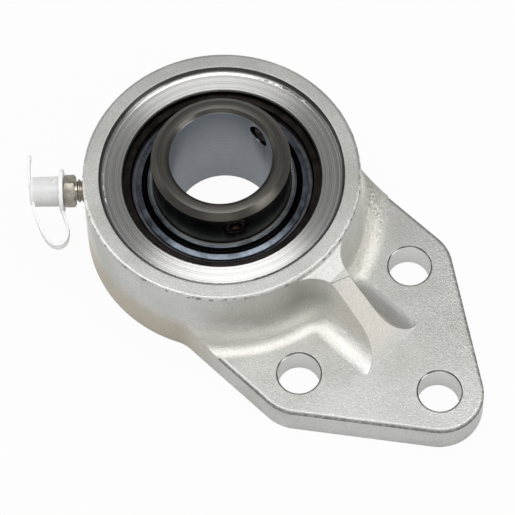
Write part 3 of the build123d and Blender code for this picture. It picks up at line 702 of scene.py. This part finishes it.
def makeInnerRing(s):
    half = math.degrees(math.acos((s["raceCentreR"] - s["outerR"]) / s["raceR"]))
    groove = arcPoints(s["raceCentreR"], 0, s["raceR"], 180 + half, 180 - half, s["raceSteps"])
    ring = turned("innerRing", [
        (s["boreR"] + s["boreChamfer"], s["back"]), (s["outerR"] - s["backChamfer"], s["back"]),
        (s["outerR"], s["back"] + s["backChamfer"]), *groove,
        (s["outerR"], s["front"] - s["frontChamfer"]), (s["outerR"] - s["frontChamfer"], s["front"]),
        (s["boreR"] + s["boreChamfer"], s["front"]), (s["boreR"], s["front"] - s["boreChamfer"]),
        (s["boreR"], s["back"] + s["boreChamfer"])], around=180)
    for angle in s["screwAngles"]:
        startPiece()
        bpy.ops.mesh.primitive_cylinder_add(vertices=64, radius=s["holeR"] * mm, depth=s["drillDeep"] * mm)
        drill = bpy.context.object
        placeOn(drill, radialPlace(angle, s["screwZ"]) @ outwards(s["drillR"]))
        combine(ring, "DIFFERENCE", drill)
        startPiece()
        flare = s["sinkDeep"] / 2
        bpy.ops.mesh.primitive_cone_add(vertices=64, radius1=(s["sinkR"] - flare) * mm,
                                        radius2=(s["sinkR"] + flare) * mm, depth=s["sinkDeep"] * mm)
        sink = bpy.context.object
        placeOn(sink, radialPlace(angle, s["screwZ"]) @ outwards(s["outerR"]))
        combine(ring, "DIFFERENCE", sink)
    roundEdges(ring, s["edge"], segments=2, angle=25)
    smoothShade(ring, angle=30)
    finishPiece(ring, "inner_ring", ringSteel, "bearing_steel", "inner_ring")


setScrew = {
    "crestR": 2.95, "rootR": 2.5, "pitch": 0.75, "length": 4.0, "outerEnd": 16.75, "lead": 0.5,
    "chamfer": 0.45, "topStep": (0.08, 0.42), "socketAf": 3.0, "socketDeep": 2.0, "cupR": 1.6,
    "cupDeep": 0.6, "cupLand": 0.3, "edge": 0.05,
}


def makeSetScrews(s, ring):
    bottom = -s["length"]
    stepR, stepZ = s["topStep"]
    thread = threadOutline(s["crestR"], s["rootR"], s["pitch"], bottom + s["lead"], -s["chamfer"])
    blank = turned("setScrewBlank", [
        (pole, bottom + s["cupDeep"]), (s["cupR"], bottom), (s["cupR"] + s["cupLand"], bottom), *thread,
        (s["crestR"] - stepR, -stepZ), (s["crestR"] - s["chamfer"], 0), (pole, 0)], around=72)
    startPiece()
    bpy.ops.mesh.primitive_cylinder_add(vertices=6, radius=s["socketAf"] / math.sqrt(3) * mm,
                                        depth=2 * s["socketDeep"] * mm)
    key = bpy.context.object
    settle(key)
    combine(blank, "DIFFERENCE", key)
    roundEdges(blank, s["edge"], segments=2, angle=30)
    smoothShade(blank, angle=30)
    for number, angle in enumerate(ring["screwAngles"], start=1):
        screw = copyOf(blank, "setScrew%d" % number)
        placeOn(screw, radialPlace(angle, ring["screwZ"]) @ outwards(s["outerEnd"]))
        finishPiece(screw, "set_screw_%d" % number, screwSteel, "screw_steel", "set_screw_%d" % number)
    bpy.data.objects.remove(blank)


flinger = {
    "ringR": 17.0, "ringGap": 0.02, "low": 5.9, "sheet": 0.4, "beadR": 18.0, "beadH": 0.9, "valleyR": 19.2,
    "valleyHalf": 0.3, "flangeH": 0.3, "edgeR": 21.3, "lip": 0.1, "dish": 0.22, "edge": 0.13,
}


def makeFlingers(s):
    # pressed sheet from the ring outwards: a rolled bead, a valley, and a flange that dips to its edge
    low, sheet, up = s["low"], s["sheet"], s["low"] + s["beadH"]
    flangeZ = low + s["flangeH"]
    innerR = s["ringR"] + s["ringGap"]
    flangeR = s["valleyR"] + s["valleyHalf"] + sheet
    outline = [
        (innerR, low), (s["ringR"] + sheet, low), (s["ringR"] + sheet, up - sheet),
        (s["beadR"] + sheet, up - sheet), (s["valleyR"] - s["valleyHalf"], low),
        (s["valleyR"] + s["valleyHalf"], low),
        (flangeR, flangeZ), (s["edgeR"] - s["lip"], flangeZ - s["dish"]),
        (s["edgeR"], low + s["lip"]), (s["edgeR"], flangeZ - s["dish"] + sheet),
        (flangeR - sheet / 3, flangeZ + sheet), (s["valleyR"] + s["valleyHalf"] / 2, low + sheet),
        (s["valleyR"] - s["valleyHalf"] / 2, low + sheet), (s["beadR"] + sheet, up + sheet),
        (s["ringR"] + sheet / 2, up + sheet), (innerR, up + sheet / 2)]
    front = turned("flingerFront", outline, around=180)
    roundEdges(front, s["edge"], segments=3, angle=15)
    smoothShade(front, angle=60)
    back = copyOf(front, "flingerBack")
    placeOn(back, Matrix.Rotation(math.radians(180), 4, "X"))
    for piece, node in ((front, "flinger_front"), (back, "flinger_back")):
        finishPiece(piece, "inner_ring", zincSheet, "zinc_sheet", node)


makeInnerRing(innerRing)
makeSetScrews(setScrew, innerRing)
makeFlingers(flinger)
print("bearing insert ready")

# Grease nipple and its cap

nipple = {
    "angle": -135.0, "height": 3.8, "threadEnd": 29.6, "crestR": 2.95, "rootR": 2.4, "pitch": 1.0,
    "lead": 0.3, "runout": 0.2, "hexStart": 36.31, "hexW": 2.9, "hexAf": 7.0,
    "hexChamfer": 0.42, "hexEdge": 0.12,
    "cornerR": 4.0411,  # of the chamfered blank, a hair inside the hexagon's corners
    "hexInset": (0.6, 0.4),  # how far the shank's own corners lie inside the hexagon, where they vanish
    "neckR": 2.4, "neckW": 2.2, "headR": 3.2, "coneW": 0.8, "bandW": 1.2, "headW": 4.3, "tipR": 2.1,
    "orificeR": 0.8, "orificeW": 0.7, "boreR": 1.3, "boreDeep": 6.9, "wayR": 0.7, "edge": 0.05,
}


def makeNipple(s):
    hexEnd = s["hexStart"] + s["hexW"]
    head = hexEnd + s["neckW"]
    tip = head + s["headW"]
    thread = threadOutline(s["crestR"], s["rootR"], s["pitch"], s["threadEnd"] + s["lead"],
                           s["hexStart"] - s["runout"])
    shank = turned("greaseNipple", [
        (s["wayR"], s["threadEnd"]), (s["rootR"], s["threadEnd"]), *thread,
        (s["rootR"], s["hexStart"] + s["hexInset"][0]), (s["neckR"], hexEnd - s["hexInset"][1]),
        (s["neckR"], head),
        (s["headR"], head + s["coneW"]), (s["headR"], head + s["coneW"] + s["bandW"]), (s["tipR"], tip),
        (s["orificeR"], tip), (s["orificeR"], tip - s["orificeW"]), (s["boreR"], tip - s["orificeW"]),
        (s["boreR"], tip - s["boreDeep"]), (s["wayR"], tip - s["boreDeep"])], around=72)
    middle = (0, 0, (s["hexStart"] + s["hexW"] / 2) * mm)
    startPiece()
    bpy.ops.mesh.primitive_cylinder_add(vertices=6, radius=s["hexAf"] / math.sqrt(3) * mm,
                                        depth=s["hexW"] * mm, location=middle,
                                        rotation=(0, 0, math.radians(30)))
    hexagon = bpy.context.object
    settle(hexagon)
    startPiece()
    bpy.ops.mesh.primitive_cylinder_add(vertices=96, radius=s["cornerR"] * mm, depth=s["hexW"] * mm,
                                        location=middle)
    blank = bpy.context.object
    settle(blank)
    applyModifier(blank, "BEVEL", width=s["hexChamfer"] * mm, segments=1, limit_method="ANGLE",
                  angle_limit=math.radians(60))
    combine(hexagon, "INTERSECT", blank)
    roundEdges(hexagon, s["hexEdge"], segments=2, angle=20)
    combine(shank, "UNION", hexagon)
    roundEdges(shank, s["edge"], segments=2, angle=30)
    smoothShade(shank, angle=28)
    placeOn(shank, radialPlace(s["angle"], s["height"]))
    finishPiece(shank, "housing", nippleSteel, "nipple_steel", "grease_nipple")


spring = {"low": 38.78, "top": 42.98, "wire": 0.3, "outerD": 2.1, "turns": 4, "press": 1.2}


def makeSpring(s):
    # the coil under the nipple's check ball, which the ball presses together
    startPiece()
    bpy.ops.mesh.primitive_circle_add(vertices=12, radius=s["wire"] / 2 * mm,
                                      rotation=(math.radians(90), 0, 0),
                                      location=((s["outerD"] - s["wire"]) / 2 * mm, 0,
                                                (s["low"] + s["wire"] / 2) * mm))
    coil = bpy.context.object
    coil.name = coil.data.name = "nippleSpring"
    settle(coil)
    rise = (s["top"] - s["low"] - s["wire"]) / s["turns"]
    applyModifier(coil, "SCREW", axis="Z", angle=math.tau, screw_offset=rise * mm, iterations=s["turns"],
                  steps=24, render_steps=24)
    bpy.ops.object.mode_set(mode="EDIT")
    bpy.ops.mesh.select_all(action="SELECT")
    bpy.ops.mesh.fill_holes(sides=0)
    tidyMesh(coil)
    smoothShade(coil, angle=50)
    place = radialPlace(nipple["angle"], nipple["height"])
    placeOn(coil, place)
    finishPiece(coil, "housing", springSteel, "nipple_steel", "nipple_spring")
    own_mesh(coil)


cap = {
    "boreR": 3.3, "ringStart": 39.29, "ringT": 0.95, "ringR": 5.5, "ringEdge": 0.2, "rootFillet": (0.25, 0.4),
    "cupR": 3.75, "cupStart": 40.32, "cupLen": 7.3, "taper": 0.1, "topEdge": 0.5, "endT": 0.8,
    "boreEdge": 0.2, "edge": 0.08, "strapT": 0.7, "strapW": 2.6, "strapEdge": 0.2,
    # middle of the strap: along the nipple's axis, and sideways from it
    "strap": ((39.76, 5.3), (38.6, 8.2), (37.7, 12.3), (39.3, 15.4), (42.2, 15.2), (44.4, 11.8),
              (46.2, 6.6), (47.5, 1.0), (48.1, -3.6), (48.3, -8.2), (48.0, -10.4)),
}


def makeCup(s):
    end = s["cupStart"] + s["cupLen"]
    inner = end - s["endT"]
    ringEnd = s["ringStart"] + s["ringT"]
    filletR, filletZ = s["rootFillet"]
    topR = s["cupR"] - s["taper"]
    cup = turned("nippleCap", [
        (pole, inner), (s["boreR"] - s["boreEdge"], inner), (s["boreR"], inner - s["boreEdge"]),
        (s["boreR"], s["ringStart"]), (s["ringR"] - s["ringEdge"], s["ringStart"]),
        (s["ringR"], s["ringStart"] + s["ringEdge"]), (s["ringR"], ringEnd - s["ringEdge"]),
        (s["ringR"] - s["ringEdge"], ringEnd), (s["cupR"] + filletR, ringEnd),
        (s["cupR"], ringEnd + filletZ),
        (topR, end - s["topEdge"]), (topR - s["topEdge"], end), (pole, end)], around=96)
    roundEdges(cup, s["edge"], segments=2, angle=25)
    return cup


def makeStrap(s):
    # one edge of a plane, as wide as the strap, is drawn along its middle line
    startPiece()
    bpy.ops.mesh.primitive_plane_add(size=s["strapW"] * mm)
    strap = bpy.context.object
    bpy.ops.object.mode_set(mode="EDIT")
    bpy.ops.mesh.select_mode(type="VERT")
    bpy.ops.mesh.select_all(action="DESELECT")
    bpy.ops.object.mode_set(mode="OBJECT")
    for vertex in strap.data.vertices:
        vertex.select = vertex.co.y > 0
    bpy.ops.object.mode_set(mode="EDIT")
    bpy.ops.mesh.delete(type="VERT")
    bpy.ops.mesh.select_mode(type="EDGE")
    bpy.ops.mesh.select_all(action="SELECT")
    along, aside = s["strap"][0]
    bpy.ops.transform.translate(value=(0, (aside + s["strapW"] / 2) * mm, along * mm))
    for (along0, aside0), (along1, aside1) in zip(s["strap"], s["strap"][1:]):
        bpy.ops.mesh.extrude_edges_move(
            TRANSFORM_OT_translate={"value": (0, (aside1 - aside0) * mm, (along1 - along0) * mm)})
    tidyMesh(strap)
    applyModifier(strap, "SUBSURF", levels=3, render_levels=3)
    applyModifier(strap, "SOLIDIFY", thickness=s["strapT"] * mm, offset=0)
    roundEdges(strap, s["strapEdge"], segments=3, angle=40)
    return strap


def makeCap(s):
    # cup, ring and strap are one moulding
    cup = makeCup(s)
    combine(cup, "UNION", makeStrap(s))
    smoothShade(cup, angle=50)
    placeOn(cup, radialPlace(nipple["angle"], nipple["height"]))
    finishPiece(cup, "nipple_cap", capPlastic, "cap_plastic", "nipple_cap")


makeNipple(nipple)
makeSpring(spring)
makeCap(cap)
print("grease nipple and cap ready")
